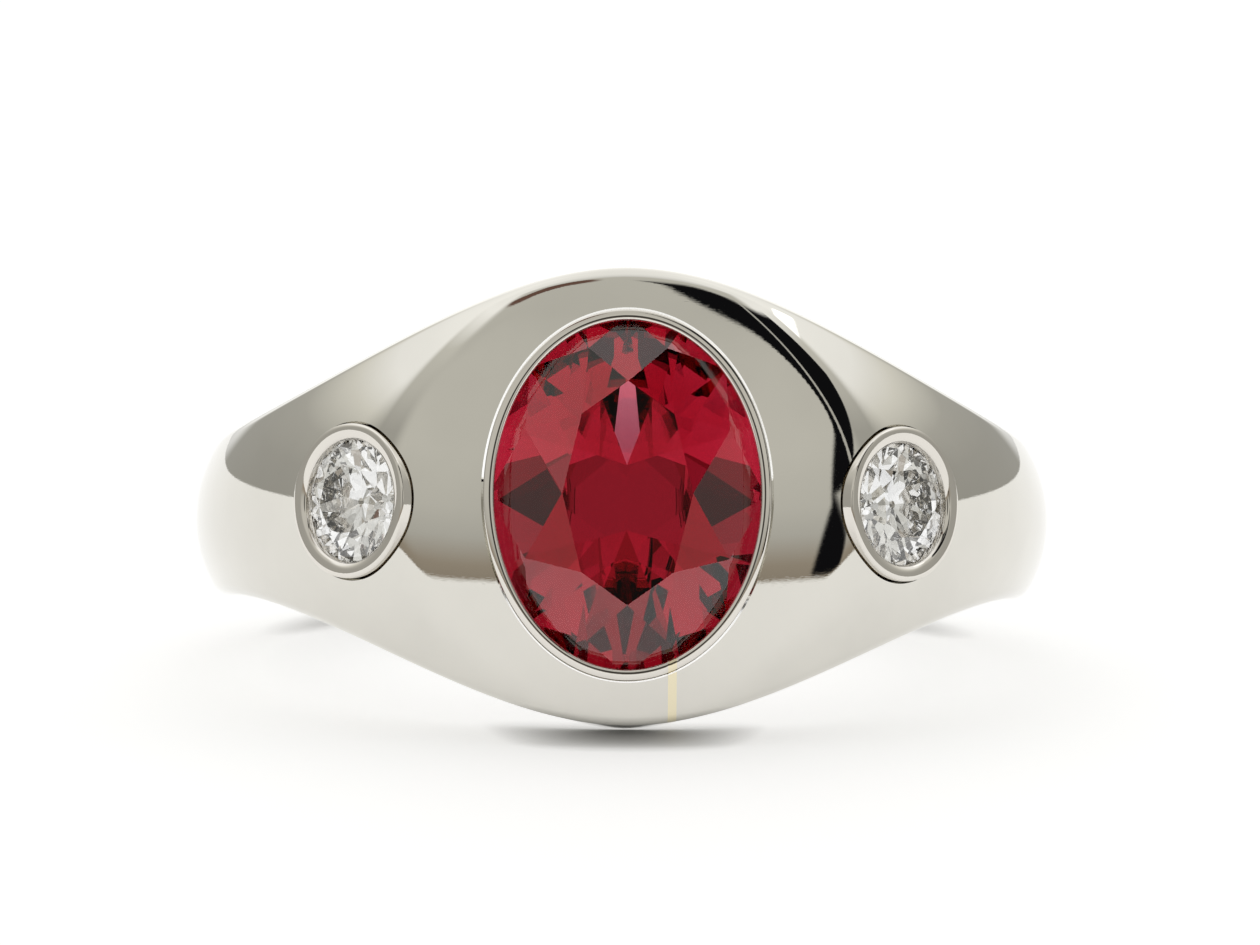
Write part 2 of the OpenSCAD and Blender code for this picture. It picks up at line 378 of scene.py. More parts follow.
def collet_tree():
    """Geometry Nodes: a tube swept round an oval, its section's points read from a profile object.

    A profile point holds the distance outwards from the oval, a height, and what the height is measured from:
    1 for the head's face, -1 for the finger hole, 0 for the oval's own plane."""
    tree = bpy.data.node_groups.new("Collet", "GeometryNodeTree")
    sockets = tree.interface
    sockets.new_socket("Geometry", in_out="INPUT", socket_type="NodeSocketGeometry")
    for name in ("Half-width", "Half-length", "Face radius", "Face behind", "Hole radius"):
        sockets.new_socket(name, in_out="INPUT", socket_type="NodeSocketFloat")
    for name in ("Around", "Points"):
        sockets.new_socket(name, in_out="INPUT", socket_type="NodeSocketInt")
    sockets.new_socket("Profile", in_out="INPUT", socket_type="NodeSocketObject")
    sockets.new_socket("Metal", in_out="INPUT", socket_type="NodeSocketMaterial")
    sockets.new_socket("Geometry", in_out="OUTPUT", socket_type="NodeSocketGeometry")
    nodes, link = tree.nodes, tree.links.new
    given, done = nodes.new("NodeGroupInput"), nodes.new("NodeGroupOutput")
    a, b, face, behind, hole, around, points = (Num(tree, given.outputs[n]) for n in (
        "Half-width", "Half-length", "Face radius", "Face behind", "Hole radius", "Around", "Points"))

    grid = nodes.new("GeometryNodeMeshGrid")
    link((around * 1.0).source, grid.inputs["Size X"])
    link((points * 1.0).source, grid.inputs["Size Y"])
    link((around + 1.0).source, grid.inputs["Vertices X"])
    link((points + 1.0).source, grid.inputs["Vertices Y"])
    place = nodes.new("GeometryNodeInputPosition")
    split = nodes.new("ShaderNodeSeparateXYZ")
    link(place.outputs[0], split.inputs[0])
    turn = Num(tree, split.outputs["X"]) / around * (2 * math.pi)
    row = Num(tree, split.outputs["Y"]) + points * 0.5 + 0.25
    index = floor_of(remainder(row, points))

    profile = nodes.new("GeometryNodeObjectInfo")
    link(given.outputs["Profile"], profile.inputs["Object"])
    read = nodes.new("GeometryNodeSampleIndex")
    read.data_type = "FLOAT_VECTOR"
    spot = nodes.new("GeometryNodeInputPosition")
    link(profile.outputs["Geometry"], read.inputs["Geometry"])
    link(spot.outputs[0], read.inputs["Value"])
    link(index.source, read.inputs["Index"])
    point = nodes.new("ShaderNodeSeparateXYZ")
    link(read.outputs[0], point.inputs[0])
    offset, height, base = (Num(tree, point.outputs[n]) for n in "XYZ")

    lean_x, lean_y = b * cos(turn), a * sin(turn)
    size = root(lean_x * lean_x + lean_y * lean_y)
    x = a * cos(turn) + offset * lean_x / size
    y = b * sin(turn) + offset * lean_y / size
    face_height = root(face * face - x * x - y * y) - behind
    hole_height = root(hole * hole - x * x)
    height = height + most(base, 0.0) * face_height + most(-base, 0.0) * hole_height
    join = nodes.new("ShaderNodeCombineXYZ")
    for value, name in ((x, "X"), (y, "Y"), (height, "Z")):
        link(value.source, join.inputs[name])
    bend = nodes.new("GeometryNodeSetPosition")
    link(grid.outputs["Mesh"], bend.inputs["Geometry"])
    link(join.outputs[0], bend.inputs["Position"])
    finish_tree(tree, bend.outputs[0], given.outputs["Metal"], done)
    return tree


def finish_tree(tree, shape, metal, done):
    """Welds the seams of a swept grid, realizes it and sets its material."""
    weld = tree.nodes.new("GeometryNodeMergeByDistance")
    weld.inputs["Distance"].default_value = 1e-6
    real = tree.nodes.new("GeometryNodeRealizeInstances")
    dressed = tree.nodes.new("GeometryNodeSetMaterial")
    tree.links.new(shape, weld.inputs["Geometry"])
    tree.links.new(weld.outputs[0], real.inputs[0])
    tree.links.new(real.outputs[0], dressed.inputs["Geometry"])
    tree.links.new(metal, dressed.inputs["Material"])
    tree.links.new(dressed.outputs[0], done.inputs[0])


def swept_collet(name, scene, half_w, half_l, points, metal, place, around=288):
    """A collet or bearing: the profile's points (in millimetres) swept round an oval and put in its place."""
    mesh = bpy.data.meshes.new("profile")
    mesh.from_pydata([(r * MM, h * MM, base) for r, h, base in points], [], [])
    profile = new_mesh_object("profile", mesh)
    piece = new_mesh_object(name, bpy.data.meshes.new(name))
    modifier = piece.modifiers.new("Collet", "NODES")
    modifier.node_group = bpy.data.node_groups.get("Collet") or collet_tree()
    sizes = scene.band_sizes
    set_inputs(modifier, {
        "Half-width": half_w, "Half-length": half_l, "Face radius": sizes.face,
        "Face behind": sizes.face - sizes.bore - sizes.rise, "Hole radius": sizes.bore,
        "Around": around, "Points": len(points), "Profile": profile, "Metal": metal})
    keep_only_mesh(piece)
    bpy.data.objects.remove(profile)
    bm = bmesh.new()
    bm.from_mesh(piece.data)
    bm.transform(LYING @ place)
    bmesh.ops.recalc_face_normals(bm, faces=bm.faces)
    for f in bm.faces:
        f.smooth = True
    for e in bm.edges:
        e.smooth = len(e.link_faces) != 2 or e.calc_face_angle() < math.radians(40)
    bm.to_mesh(piece.data)
    bm.free()
    return piece


# ---------------------------------------------------------------- where the settings lie

HEAD_PLACE = Matrix.Rotation(QUARTER, 4, "X")


def shoulder_place(scene, side):
    """Where a diamond lies on the crest, with its own Z along the outward normal."""
    s = band_values(scene)
    turn = scene.stone_sizes.diamond_turn
    step = math.radians(1)
    r = float(skin(s, turn, 0.0))
    slope = float(skin(s, turn + step, 0.0) - skin(s, turn - step, 0.0)) / (2 * step)
    normal = turn - math.atan(slope / r)
    spot = Vector((side * r * math.sin(turn), -r * math.cos(turn), -scene.stone_sizes.diamond_low))
    return Matrix.Translation(spot) @ Matrix.Rotation(side * normal, 4, "Z") @ HEAD_PLACE


# ---------------------------------------------------------------- stones

# Height of the girdle's edge on each stone, and all the sizes down to CULET are in millimetres
GIRDLE = 0.08
# From the finger hole's wall up to the ruby's keel
KEEL_GAP = 0.15
# How far the ruby's lip stands above the head's face, and width of the ledge under the ruby
LIP_PROUD, RUBY_LEDGE = 0.1, 0.85
# Depths below the shoulders' crest: a diamond's girdle, the top of its collet and the collet's foot
DIAMOND_SINK, RIM_SINK, COLLET_DEEP = 0.48, 0.08, 1.95
# Radius of the hole behind a diamond, how deep it reaches, and how far it runs into the collet's seat
AZURE_R, AZURE_DEEP, AZURE_OVER = 0.8, 8.0, 0.05
# How much is cut off a diamond's point
CULET = 0.07
# Width and length of a table, as a share of its stone's
RUBY_TABLE, DIAMOND_TABLE = (0.47, 0.62), (0.54, 0.54)
# How far each diamond happens to be turned in its collet, in degrees
DIAMOND_TURNS = {"left_diamond": 7, "right_diamond": 29}


def plane_through(p, q, r):
    """Plane through three points, its normal pointing away from the stone's middle."""
    p, q, r = Vector(p), Vector(q), Vector(r)
    normal = (q - p).cross(r - p).normalized()
    return (p, normal) if normal.dot(p - Vector((0, 0, 0.01))) > 0 else (p, -normal)


def meet(first, second, height):
    """Where two planes meet at the given height."""
    (p, m), (q, n) = first, second
    rows = np.array([[m.x, m.y], [n.x, n.y]])
    values = np.array([m.dot(p) - m.z * height, n.dot(q) - n.z * height])
    x, y = np.linalg.solve(rows, values)
    return (x, y, height)


def facet_planes(crown, pavilion, table, keel, star=0.5, low=0.22):
    """Planes of an eight-fold brilliant of unit radius: table, mains, stars, girdle facets and pavilion."""
    def rim(turn, height):
        return (math.cos(turn), math.sin(turn), height)

    def main_facet(turn, height, tip):
        side = (math.cos(turn) - math.sin(turn), math.sin(turn) + math.cos(turn), height)
        return plane_through(rim(turn, height), side, tip)

    eighth = math.pi / 4
    turns = [eighth * i for i in range(8)]
    corners = [(table[0] * math.cos(t), table[1] * math.sin(t), crown) for t in turns]
    tops = [main_facet(t, GIRDLE, c) for t, c in zip(turns, corners)]
    tips = [(0, keel * round(math.sin(t), 6) / max(abs(math.sin(t)), 1e-3), -pavilion) for t in turns]
    bottoms = [main_facet(t, 0, tip) for t, tip in zip(turns, tips)]
    planes = [(Vector((0, 0, crown)), Vector((0, 0, 1)))] + tops + bottoms
    for i, t in enumerate(turns):
        j = (i + 1) % 8
        upper = meet(tops[i], tops[j], GIRDLE + (crown - GIRDLE) * star)
        lower = meet(bottoms[i], bottoms[j], -pavilion * (1 - low))
        planes.append(plane_through(corners[i], corners[j], upper))
        for near in (t, t + eighth / 2):
            planes.append(plane_through(upper, rim(near, GIRDLE), rim(near + eighth / 2, GIRDLE)))
            planes.append(plane_through(lower, rim(near, 0), rim(near + eighth / 2, 0)))
    return planes


def cut_stone(name, half_w, half_l, planes, place, culet=None):
    """Cuts a round blank with every facet's plane and stretches it to the stone's outline."""
    bm = bmesh.new()
    bmesh.ops.create_cone(bm, cap_ends=True, segments=96, radius1=1, radius2=1, depth=12)
    if culet is not None:
        planes = planes + [(Vector((0, 0, -culet)), Vector((0, 0, -1)))]
    for point, normal in planes:
        found = bmesh.ops.bisect_plane(bm, geom=bm.verts[:] + bm.edges[:] + bm.faces[:], dist=1e-6,
                                       plane_co=point, plane_no=normal, clear_outer=True)
        edges = [g for g in found["geom_cut"] if isinstance(g, bmesh.types.BMEdge)]
        if len(edges) > 2:
            bmesh.ops.edgeloop_fill(bm, edges=[e for e in edges if e.is_boundary])
    bmesh.ops.remove_doubles(bm, verts=bm.verts, dist=1e-4)
    bm.transform(Matrix.Diagonal((half_w, half_l, MM, 1)))
    return from_bmesh(name, bm, place)


# ---------------------------------------------------------------- smooth metal after a cut

def normals_of(piece):
    """A smooth piece's surface: a lookup, and its vertex normals, faces and vertices."""
    mesh = piece.data
    spots = [v.co.copy() for v in mesh.vertices]
    faces = [tuple(p.vertices) for p in mesh.polygons]
    return BVHTree.FromPolygons(spots, faces), [v.normal.copy() for v in mesh.vertices], faces, spots


def borrow_normals(piece, source, reach=3e-6):
    """Gives a cut piece the normals of the smooth surface that it was cut from."""
    tree, normals, faces, spots = source
    mesh = piece.data
    found = []
    for v in mesh.vertices:
        _, normal, index, distance = tree.find_nearest(v.co)
        if index is None or distance > reach:
            found.append(None)
            continue
        corners = faces[index]
        weights = [1 / max((spots[c] - v.co).length, 1e-9) ** 2 for c in corners]
        total = sum((normals[c] * w for c, w in zip(corners, weights)), Vector())
        found.append(total.normalized())
    split = [Vector((0, 0, 0))] * len(mesh.loops)
    for p in mesh.polygons:
        p.use_smooth = True
        near = [found[v] for v in p.vertices]
        on_skin = all(n is not None and n.dot(p.normal) > 0.6 for n in near)
        for loop, n in zip(p.loop_indices, near):
            split[loop] = n if on_skin else p.normal.copy()
    mesh.normals_split_custom_set(split)


def cut(piece, bm, operation="DIFFERENCE"):
    """Cuts a bmesh tool, given in the ring's own frame, out of a piece."""
    tool = from_bmesh("cutter", bm)
    modifier = piece.modifiers.new("Cut", "BOOLEAN")
    modifier.object, modifier.operation, modifier.solver = tool, operation, "MANIFOLD"
    keep_only_mesh(piece)
    bpy.data.objects.remove(tool)


# ---------------------------------------------------------------- materials

def new_material(name):
    """A new material, its nodes, the call that links them, and its shader."""
    material = bpy.data.materials.new(name)
    material.use_nodes = True
    nodes = material.node_tree.nodes
    return material, nodes, material.node_tree.links.new, nodes["Principled BSDF"]


def noise(nodes, link, scale, detail, stretch=None):
    """A noise over the piece's own coordinates, scale in patches a millimetre."""
    place = nodes.new("ShaderNodeTexCoord")
    spot = place.outputs["Object"]
    if stretch is not None:
        mapping = nodes.new("ShaderNodeMapping")
        mapping.inputs["Scale"].default_value = stretch
        link(spot, mapping.inputs["Vector"])
        spot = mapping.outputs[0]
    pattern = nodes.new("ShaderNodeTexNoise")
    pattern.inputs["Scale"].default_value = scale / MM
    pattern.inputs["Detail"].default_value = detail
    link(spot, pattern.inputs["Vector"])
    return pattern.outputs["Fac"]


def spread(nodes, link, value, low, high, from_low=0.35, from_high=0.65):
    """Maps a pattern to a range of numbers."""
    ranged = nodes.new("ShaderNodeMapRange")
    for name, number in (("From Min", from_low), ("From Max", from_high), ("To Min", low), ("To Max", high)):
        ranged.inputs[name].default_value = number
    link(value, ranged.inputs["Value"])
    return ranged.outputs[0]


def between(nodes, link, value, first, second):
    """Mixes two colours by a pattern."""
    mix = nodes.new("ShaderNodeMix")
    mix.data_type = "RGBA"
    mix.inputs[6].default_value = (*first, 1)
    mix.inputs[7].default_value = (*second, 1)
    link(value, mix.inputs[0])
    return mix.outputs[2]


def polished_metal(name, tint, polish, ripple=0.012):
    """Hand-polished metal: a faint unevenness, fine buffing marks and a shallow ripple."""
    material, nodes, link, shader = new_material(name)
    patches = noise(nodes, link, 0.5, 3)
    darker = [c * 0.965 for c in tint]
    link(between(nodes, link, spread(nodes, link, patches, 0, 1), darker, tint), shader.inputs["Base Color"])
    shader.inputs["Metallic"].default_value = 1.0
    hairs = noise(nodes, link, 6, 2, stretch=(1, 1, 14))
    link(spread(nodes, link, hairs, polish, polish * 1.9, 0.45, 0.8), shader.inputs["Roughness"])
    wave = nodes.new("ShaderNodeBump")
    wave.inputs["Distance"].default_value = ripple * MM
    wave.inputs["Strength"].default_value = 1.0
    link(noise(nodes, link, 0.28, 1), wave.inputs["Height"])
    scratch = nodes.new("ShaderNodeBump")
    scratch.inputs["Distance"].default_value = 0.0002 * MM
    scratch.inputs["Strength"].default_value = 0.6
    link(hairs, scratch.inputs["Height"])
    link(wave.outputs[0], scratch.inputs["Normal"])
    link(scratch.outputs[0], shader.inputs["Normal"])
    return material


def gem(name, tint, deeper, ior, absorb=None, density=0.0):
    """Cut stone: clear, with faint growth zoning, and a body colour that grows with depth if it has one."""
    material, nodes, link, shader = new_material(name)
    zones = noise(nodes, link, 0.7, 2)
    link(between(nodes, link, spread(nodes, link, zones, 0, 1), tint, deeper), shader.inputs["Base Color"])
    shader.inputs["Roughness"].default_value = 0.0
    shader.inputs["IOR"].default_value = ior
    shader.inputs["Transmission Weight"].default_value = 1.0
    if absorb is not None:
        volume = nodes.new("ShaderNodeVolumeAbsorption")
        volume.inputs["Color"].default_value = (*absorb, 1)
        volume.inputs["Density"].default_value = density
        link(volume.outputs[0], nodes["Material Output"].inputs["Volume"])
    return material


GOLD, COLLET_GOLD, SOLDER, RUBY, DIAMOND = (
    "polished white gold", "collet white gold", "pale solder", "cut ruby", "cut diamond")


def material_of(key):
    return bpy.data.materials[key]


def make_materials(scene):
    """Makes the five materials from the colours in the sidebar."""
    finish = scene.ring_finish
    polished_metal(GOLD, finish.gold, finish.polish)
    polished_metal(COLLET_GOLD, finish.collet, finish.polish * 1.3, ripple=0.004)
    polished_metal(SOLDER, finish.solder, finish.polish * 4)
    gem(RUBY, (1.0, 0.92, 0.94), (1.0, 0.86, 0.9), 1.77, finish.ruby, finish.ruby_density)
    gem(DIAMOND, (1.0, 1.0, 1.0), (0.97, 0.98, 1.0), 2.42)


# ---------------------------------------------------------------- the pieces

def box_block(low, high):
    """Box between two corners, in the ring's own frame."""
    bm = bmesh.new()
    bmesh.ops.create_cube(bm, size=1)
    low, high = Vector(low), Vector(high)
    bm.transform(Matrix.Translation((low + high) / 2) @ Matrix.Diagonal((*(high - low), 1)))
    return bm


def seam_block(scene):
    """Upright sheet where the solder seam runs down from the ruby."""
    s, band = scene.stone_sizes, scene.band_sizes
    return box_block((s.seam_x - s.seam_w / 2, -(band.bore + band.rise + MM), -band.head - MM),
                     (s.seam_x + s.seam_w / 2, -band.bore + MM, 0))


def drill(place, radius, low, high, steps=128):
    """Round block along a setting's own Z."""
    bm = bmesh.new()
    bmesh.ops.create_cone(bm, cap_ends=True, segments=steps, radius1=radius, radius2=radius, depth=high - low)
    bm.transform(place @ Matrix.Translation((0, 0, (low + high) / 2)))
    return bm


def ruby_seat(scene, spare):
    """Oval opening in the head for the ruby's collet, with a spare gap round it."""
    s, band = scene.stone_sizes, scene.band_sizes
    reach = s.ruby_wall + spare
    return oval_block(s.ruby_w + reach, s.ruby_l + reach, band.bore - MM, band.bore + band.rise + MM)


class RING_OT_body(bpy.types.Operator):
    """Makes the shank, shoulders and head, with the seats of the three settings cut in them"""

    bl_idname = "ring.body"
    bl_label = "Ring body"

    def execute(self, context):
        scene = context.scene
        stones = scene.stone_sizes
        body = band_object(scene, material_of(GOLD))
        smooth = normals_of(body)
        seam = new_mesh_object("head_solder_seam.shown", body.data.copy())
        cut(body, ruby_seat(scene, stones.joint))
        for side in (-1, 1):
            place = shoulder_place(scene, side)
            seat_r = stones.diamond_r + stones.diamond_wall + stones.joint
            cut(body, drill(place, seat_r, -COLLET_DEEP * MM, 2 * MM))
            azure_top = AZURE_OVER - COLLET_DEEP
            cut(body, drill(place, AZURE_R * MM, -AZURE_DEEP * MM, azure_top * MM, steps=64))
        cut(body, seam_block(scene))
        cut(seam, seam_block(scene), "INTERSECT")
        cut(seam, ruby_seat(scene, stones.joint))
        body.name = "ring_body.shown"
        for piece in (body, seam):
            borrow_normals(piece, smooth)
        dress(body, material_of(GOLD))
        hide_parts("ring_body")
        dress(seam, material_of(SOLDER))
        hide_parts("head_solder_seam")
        return {"FINISHED"}


class RING_OT_ruby_setting(bpy.types.Operator):
    """Makes the ruby's oval collet, its solder seam and the bearing that the ruby sits on"""

    bl_idname = "ring.ruby_setting"
    bl_label = "Ruby setting"

    def execute(self, context):
        scene = context.scene
        s = scene.stone_sizes
        wall, lip = s.ruby_wall / MM, s.lip / MM
        girdle = ruby_height(scene) / MM
        top = girdle + GIRDLE
        profile = [
            (wall, 0, -1), (wall, LIP_PROUD - 0.02, 1), (wall - 0.008, LIP_PROUD - 0.006, 1),
            (wall - 0.03, LIP_PROUD, 1), (0.0, LIP_PROUD + 0.005, 1), (-lip + 0.06, LIP_PROUD - 0.01, 1),
            (-lip + 0.02, LIP_PROUD - 0.035, 1), (-lip, LIP_PROUD - 0.08, 1), (-lip, top + 0.13, 0),
            (0.012, top + 0.02, 0), (0.012, girdle - 0.05, 0), (0.012, 0, -1)]
        collet = swept_collet("ruby_collet.shown", scene, s.ruby_w, s.ruby_l, profile,
                              material_of(COLLET_GOLD), HEAD_PLACE)
        seam = new_mesh_object("collet_solder_seam.shown", collet.data.copy())
        smooth = normals_of(collet)
        cut(collet, seam_block(scene))
        cut(seam, seam_block(scene), "INTERSECT")
        for piece in (collet, seam):
            borrow_normals(piece, smooth)
        drop = RUBY_LEDGE * s.ruby_pavilion / s.ruby_w
        slope = [
            (0, 0, -1), (0, girdle - 0.06, 0), (-0.05, girdle - 0.12, 0),
            (-RUBY_LEDGE, girdle - drop - 0.06, 0), (-RUBY_LEDGE, 0.05, -1), (-RUBY_LEDGE + 0.05, 0, -1)]
        bearing = swept_collet("ruby_bearing.shown", scene, s.ruby_w, s.ruby_l, slope,
                               material_of(COLLET_GOLD), HEAD_PLACE)
        dress(collet, material_of(COLLET_GOLD))
        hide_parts("ruby_collet")
        dress(bearing, material_of(COLLET_GOLD))
        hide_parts("ruby_bearing")
        dress(seam, material_of(SOLDER))
        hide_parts("collet_solder_seam")
        return {"FINISHED"}


def ruby_height(scene):
    """Height of the ruby's girdle above the middle of the finger hole."""
    return scene.band_sizes.bore + scene.stone_sizes.ruby_pavilion + KEEL_GAP * MM


class RING_OT_diamond_settings(bpy.types.Operator):
    """Makes the two round collets in the shoulders"""

    bl_idname = "ring.diamond_settings"
    bl_label = "Diamond settings"

    def execute(self, context):
        scene = context.scene
        s = scene.stone_sizes
        wall, lip = s.diamond_wall / MM, s.lip / MM
        girdle, rim = -DIAMOND_SINK, -RIM_SINK
        top = girdle + GIRDLE
        ledge_drop = wall * s.diamond_pavilion / s.diamond_r
        profile = [
            (wall, -COLLET_DEEP, 0), (wall, rim - 0.05, 0), (wall - 0.01, rim - 0.025, 0),
            (wall - 0.04, rim - 0.004, 0), (wall - 0.1, rim + 0.004, 0), (0.07, rim + 0.002, 0),
            (0.0, rim - 0.012, 0), (-lip + 0.07, rim - 0.035, 0), (-lip + 0.03, rim - 0.07, 0),
            (-lip + 0.01, rim - 0.12, 0), (-lip, top + 0.11, 0), (0.01, top + 0.02, 0),
            (0.01, girdle - 0.03, 0), (-wall, girdle - ledge_drop - 0.03, 0), (-wall, -COLLET_DEEP, 0)]
        for side, name in ((-1, "left_diamond_collet"), (1, "right_diamond_collet")):
            collet = swept_collet(name + ".shown", scene, s.diamond_r, s.diamond_r, profile,
                                  material_of(COLLET_GOLD), shoulder_place(scene, side), around=160)
            dress(collet, material_of(COLLET_GOLD))
            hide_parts(name)
        return {"FINISHED"}


class RING_OT_ruby(bpy.types.Operator):
    """Cuts the oval ruby"""

    bl_idname = "ring.ruby"
    bl_label = "Ruby"

    def execute(self, context):
        s = context.scene.stone_sizes
        planes = facet_planes(s.ruby_crown / MM, s.ruby_pavilion / MM, RUBY_TABLE, s.ruby_keel / s.ruby_l)
        place = HEAD_PLACE @ Matrix.Translation((0, 0, ruby_height(context.scene)))
        ruby = cut_stone("ruby.shown", s.ruby_w, s.ruby_l, planes, place)
        dress(ruby, material_of(RUBY))
        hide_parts("ruby")
        return {"FINISHED"}


class RING_OT_diamonds(bpy.types.Operator):
    """Cuts the two round diamonds"""

    bl_idname = "ring.diamonds"
    bl_label = "Diamonds"

    def execute(self, context):
        scene = context.scene
        s = scene.stone_sizes
        planes = facet_planes(s.diamond_crown / MM, s.diamond_pavilion / MM, DIAMOND_TABLE, 0.0, low=0.3)
        for side, (name, turned) in zip((-1, 1), DIAMOND_TURNS.items()):
            place = shoulder_place(scene, side) @ Matrix.Translation((0, 0, -DIAMOND_SINK * MM))
            place = place @ Matrix.Rotation(math.radians(turned), 4, "Z")
            diamond = cut_stone(name + ".shown", s.diamond_r, s.diamond_r, planes, place,
                                culet=s.diamond_pavilion / MM - CULET)
            dress(diamond, material_of(DIAMOND))
            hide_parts(name)
        return {"FINISHED"}


# ---------------------------------------------------------------- studio

# Walls of the studio: a height from the horizon (0) to overhead (1), the brightness there and the tint
WARM, NEUTRAL, BROWN = (1.0, 0.985, 0.91), (1.0, 1.0, 0.985), (1.0, 0.87, 0.70)
FRONT_WALL = ((0.0, 0.33, BROWN), (0.04, 0.36, BROWN), (0.12, 0.52, WARM), (0.2, 0.6, WARM),
              (0.35, 0.66, WARM), (0.6, 0.65, WARM), (0.72, 0.6, WARM), (0.85, 0.62, WARM),
              (0.93, 0.9, NEUTRAL), (1.0, 1.06, NEUTRAL))
CORNERS = ((0.0, 0.42, WARM), (0.2, 0.42, WARM), (0.42, 0.45, WARM), (0.57, 0.6, WARM), (0.71, 0.7, WARM),
           (0.82, 1.15, NEUTRAL), (1.0, 1.06, NEUTRAL))
SIDE_WALLS = ((0.0, 0.40, WARM), (0.15, 0.42, WARM), (0.3, 0.5, WARM), (0.45, 0.82, WARM),
              (0.57, 1.08, NEUTRAL), (0.72, 1.15, NEUTRAL), (0.85, 1.2, NEUTRAL), (1.0, 1.06, NEUTRAL))
BACK_WALL = ((0.0, 0.8, NEUTRAL), (0.1, 1.1, NEUTRAL), (0.2, 1.3, NEUTRAL), (1.0, 1.06, NEUTRAL))
# Oval patches on the walls: the middle's direction (across, up), the half-size and the colour
LAMP = ((0.64, 0.75), (0.06, 0.035), (1.9, 1.9, 1.9))
SHELF = ((-0.26, 0.825), (0.16, 0.025), (0.16, 0.09, 0.07))
CAMERA_BODY = ((0.0, 0.26), (0.15, 0.17), (0.06, 0.055, 0.05))
SCREEN_COLOUR = (0.006, 0.006, 0.007)
# Direction of the slit of light in the screen
SLIT = math.radians(44)
# The floor: half its side, its grey, its own glow, and how near a piece darkens that glow into a painted
# contact shadow
FLOOR_HALF, FLOOR_GREY, FLOOR_GLOW, FLOOR_SHADE = 0.8, 0.6, 0.52, 0.9 * MM
# The camera: metres from the middle of the head, focal length in millimetres and shift of the frame
CAMERA_AWAY, CAMERA_LENS, CAMERA_SHIFT = 0.25, 313.457, (0.001825, 0.016667)
# How far the camera is raised, turned to the right and rolled, in degrees
CAMERA_RISE, CAMERA_TURN, CAMERA_ROLL = 8.7, -0.7, 0.44


def wall(tree, height, stops):
    """One wall's colour, as a ramp over the height."""
    ramp = tree.nodes.new("ShaderNodeValToRGB")
    elements = ramp.color_ramp.elements
    while len(elements) < len(stops):
        elements.new(0.5)
    for element, (at, bright, tint) in zip(elements, stops):
        element.position = at
        element.color = (*(bright * c for c in tint), 1)
    tree.links.new(height.source, ramp.inputs["Fac"])
    return ramp.outputs[0]


def blended(tree, share, first, second):
    """The first colour where the share is 0 and the second where it is 1."""
    mix = tree.nodes.new("ShaderNodeMix")
    mix.data_type = "RGBA"
    tree.links.new(share.source, mix.inputs[0])
    for socket, colour_in in ((6, first), (7, second)):
        if isinstance(colour_in, tuple):
            mix.inputs[socket].default_value = (*colour_in, 1)
        else:
            tree.links.new(colour_in, mix.inputs[socket])
    return mix.outputs[2]


def spot(x, z, at, size, soft=0.3):
    """1 inside an oval patch of the front or side wall, 0 outside it."""
    across, up = (x - at[0]) / size[0], (z - at[1]) / size[1]
    return ease((1.0 + soft - root(across * across + up * up)) / soft)


def dark_screen(x, front, z):
    """1 on a tall dark screen with curved edges and a slit of light down it, 0 beside it."""
    high, under = most(z - 0.38, 0.0), most(0.2 - z, 0.0)
    inner = ease((x - (0.58 - 3.0 * high * high - 0.3 * under)) / 0.008)
    outer = ease((front - least(most(0.743 - 1.45 * (z - 0.24), 0.18), 0.76)) / 0.02)
    upright = ease((0.82 - z) / 0.03) * ease(z / 0.01)
    from_slit = abs(x * math.cos(SLIT) - front * math.sin(SLIT))
    return inner * outer * upright * (1.0 - 0.8 * ease((0.022 - from_slit) / 0.006))


def studio_light(scene):
    """A pale room: warm wall in front, bright side walls from half height up, a white wall behind.

    A tall dark screen stands at the right-hand front, a brown shelf's edge is high up, and the camera's
    body is in front."""
    world = bpy.data.worlds.new("studio")
    scene.world = world
    world.use_nodes = True
    tree = world.node_tree
    nodes, link = tree.nodes, tree.links.new
    place = nodes.new("ShaderNodeTexCoord")
    split = nodes.new("ShaderNodeSeparateXYZ")
    link(place.outputs["Generated"], split.inputs[0])
    x, y, z = (Num(tree, split.outputs[n]) for n in "XYZ")
    ahead = -y / most(root(x * x + y * y), 0.001)
    front = -y
    walls = blended(tree, ease((ahead - 0.45) / 0.25), wall(tree, z, CORNERS), wall(tree, z, FRONT_WALL))
    walls = blended(tree, ease((0.06 - ahead) / 0.25), walls, wall(tree, z, SIDE_WALLS))
    walls = blended(tree, ease((-ahead - 0.9) / 0.06), walls, wall(tree, z, BACK_WALL))
    facing = ease((front - 0.1) / 0.05)
    at, size, shade = LAMP
    walls = blended(tree, spot(x, z, at, size) * ease(y / 0.05), walls, shade)
    walls = blended(tree, dark_screen(x, front, z), walls, SCREEN_COLOUR)
    for at, size, shade in (SHELF, CAMERA_BODY):
        walls = blended(tree, spot(x, z, at, size) * facing, walls, shade)
    link(walls, nodes["Background"].inputs["Color"])


def studio_floor(low):
    """A white floor at the height of the ring's lowest point, whose glow is darkened near the ring as a
    painted contact shadow.
    """
    bm = bmesh.new()
    bmesh.ops.create_grid(bm, x_segments=1, y_segments=1, size=FLOOR_HALF)
    bm.transform(Matrix.Translation((0, 0, low)))
    mesh = bpy.data.meshes.new("floor")
    bm.to_mesh(mesh)
    bm.free()
    floor = new_mesh_object("floor", mesh)
    material, nodes, link, shader = new_material("white floor")
    shader.inputs["Base Color"].default_value = (FLOOR_GREY, FLOOR_GREY, FLOOR_GREY, 1)
    shader.inputs["Roughness"].default_value = 0.8
    shader.inputs["Emission Strength"].default_value = FLOOR_GLOW
    # Painted contact shadow: ambient occlusion darkens the floor's glow close to the ring
    painted_contact_shadow = nodes.new("ShaderNodeAmbientOcclusion")
    painted_contact_shadow.samples = 8
    painted_contact_shadow.inputs["Distance"].default_value = FLOOR_SHADE
    link(painted_contact_shadow.outputs["Color"], shader.inputs["Emission Color"])
    floor.data.materials.append(material)


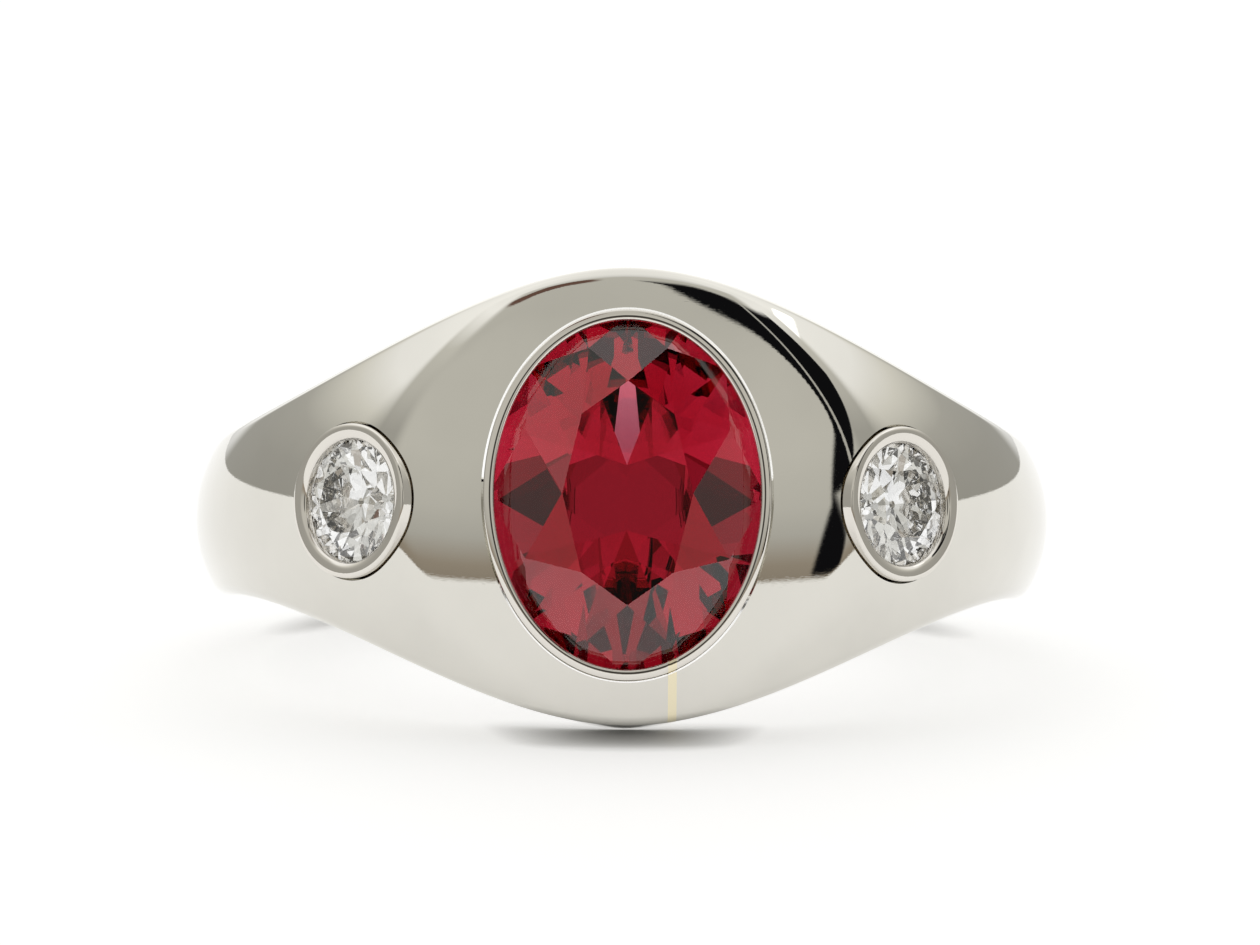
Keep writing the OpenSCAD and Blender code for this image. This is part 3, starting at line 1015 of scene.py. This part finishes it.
def studio_camera(scene):
    """A camera in front that looks from a little above at the middle of the head."""
    camera = bpy.data.cameras.new("camera")
    camera.sensor_width = 36
    camera.clip_start = 0.01
    camera.lens = CAMERA_LENS
    camera.shift_x, camera.shift_y = CAMERA_SHIFT
    view = bpy.data.objects.new("camera", camera)
    scene.collection.objects.link(view)
    rise, turn, roll = (math.radians(a) for a in (CAMERA_RISE, CAMERA_TURN, CAMERA_ROLL))
    target = LYING @ Vector((0, -scene.band_sizes.bore - scene.band_sizes.rise, 0))
    away = Vector((math.sin(turn) * math.cos(rise), -math.cos(turn) * math.cos(rise), math.sin(rise)))
    view.location = target + away * CAMERA_AWAY
    look = (-away).to_track_quat("-Z", "Y")
    view.rotation_euler = (look.to_matrix() @ Matrix.Rotation(roll, 3, "Z")).to_euler()
    scene.camera = view


class RING_OT_stage(bpy.types.Operator):
    """Makes the floor, the studio light and the camera"""

    bl_idname = "ring.stage"
    bl_label = "Stage"

    def execute(self, context):
        scene = context.scene
        body = bpy.data.objects["ring_body.shown"]
        studio_floor(min(v.co.z for v in body.data.vertices))
        studio_light(scene)
        studio_camera(scene)
        scene.view_settings.view_transform = "Standard"
        scene.cycles.glossy_bounces = 16
        scene.cycles.transmission_bounces = 24
        scene.cycles.max_bounces = 28
        return {"FINISHED"}


class RING_PT_pieces(bpy.types.Panel):
    """Lists the ring's pieces in the sidebar"""

    bl_label = "Gypsy-set ring"
    bl_idname = "RING_PT_pieces"
    bl_space_type = "VIEW_3D"
    bl_region_type = "UI"
    bl_category = "Ring"

    def draw(self, context):
        for operator in OPERATORS:
            self.layout.operator(operator.bl_idname)
        for name in GROUPS:
            column = self.layout.column(align=True)
            for field in GROUPS[name].__annotations__:
                column.prop(getattr(context.scene, name), field)


OPERATORS = (RING_OT_body, RING_OT_ruby_setting, RING_OT_diamond_settings, RING_OT_ruby, RING_OT_diamonds,
             RING_OT_stage)


def register():
    for cls in (*GROUPS.values(), *OPERATORS, RING_PT_pieces):
        bpy.utils.register_class(cls)
    for name, group in GROUPS.items():
        setattr(bpy.types.Scene, name, PointerProperty(type=group))


def unregister():
    for name in GROUPS:
        delattr(bpy.types.Scene, name)
    for cls in reversed((*GROUPS.values(), *OPERATORS, RING_PT_pieces)):
        bpy.utils.unregister_class(cls)


def main():
    register()
    make_materials(bpy.context.scene)
    bpy.ops.ring.body()
    bpy.ops.ring.ruby_setting()
    bpy.ops.ring.diamond_settings()
    bpy.ops.ring.ruby()
    bpy.ops.ring.diamonds()
    bpy.ops.ring.stage()


if __name__ == "__main__":
    main()
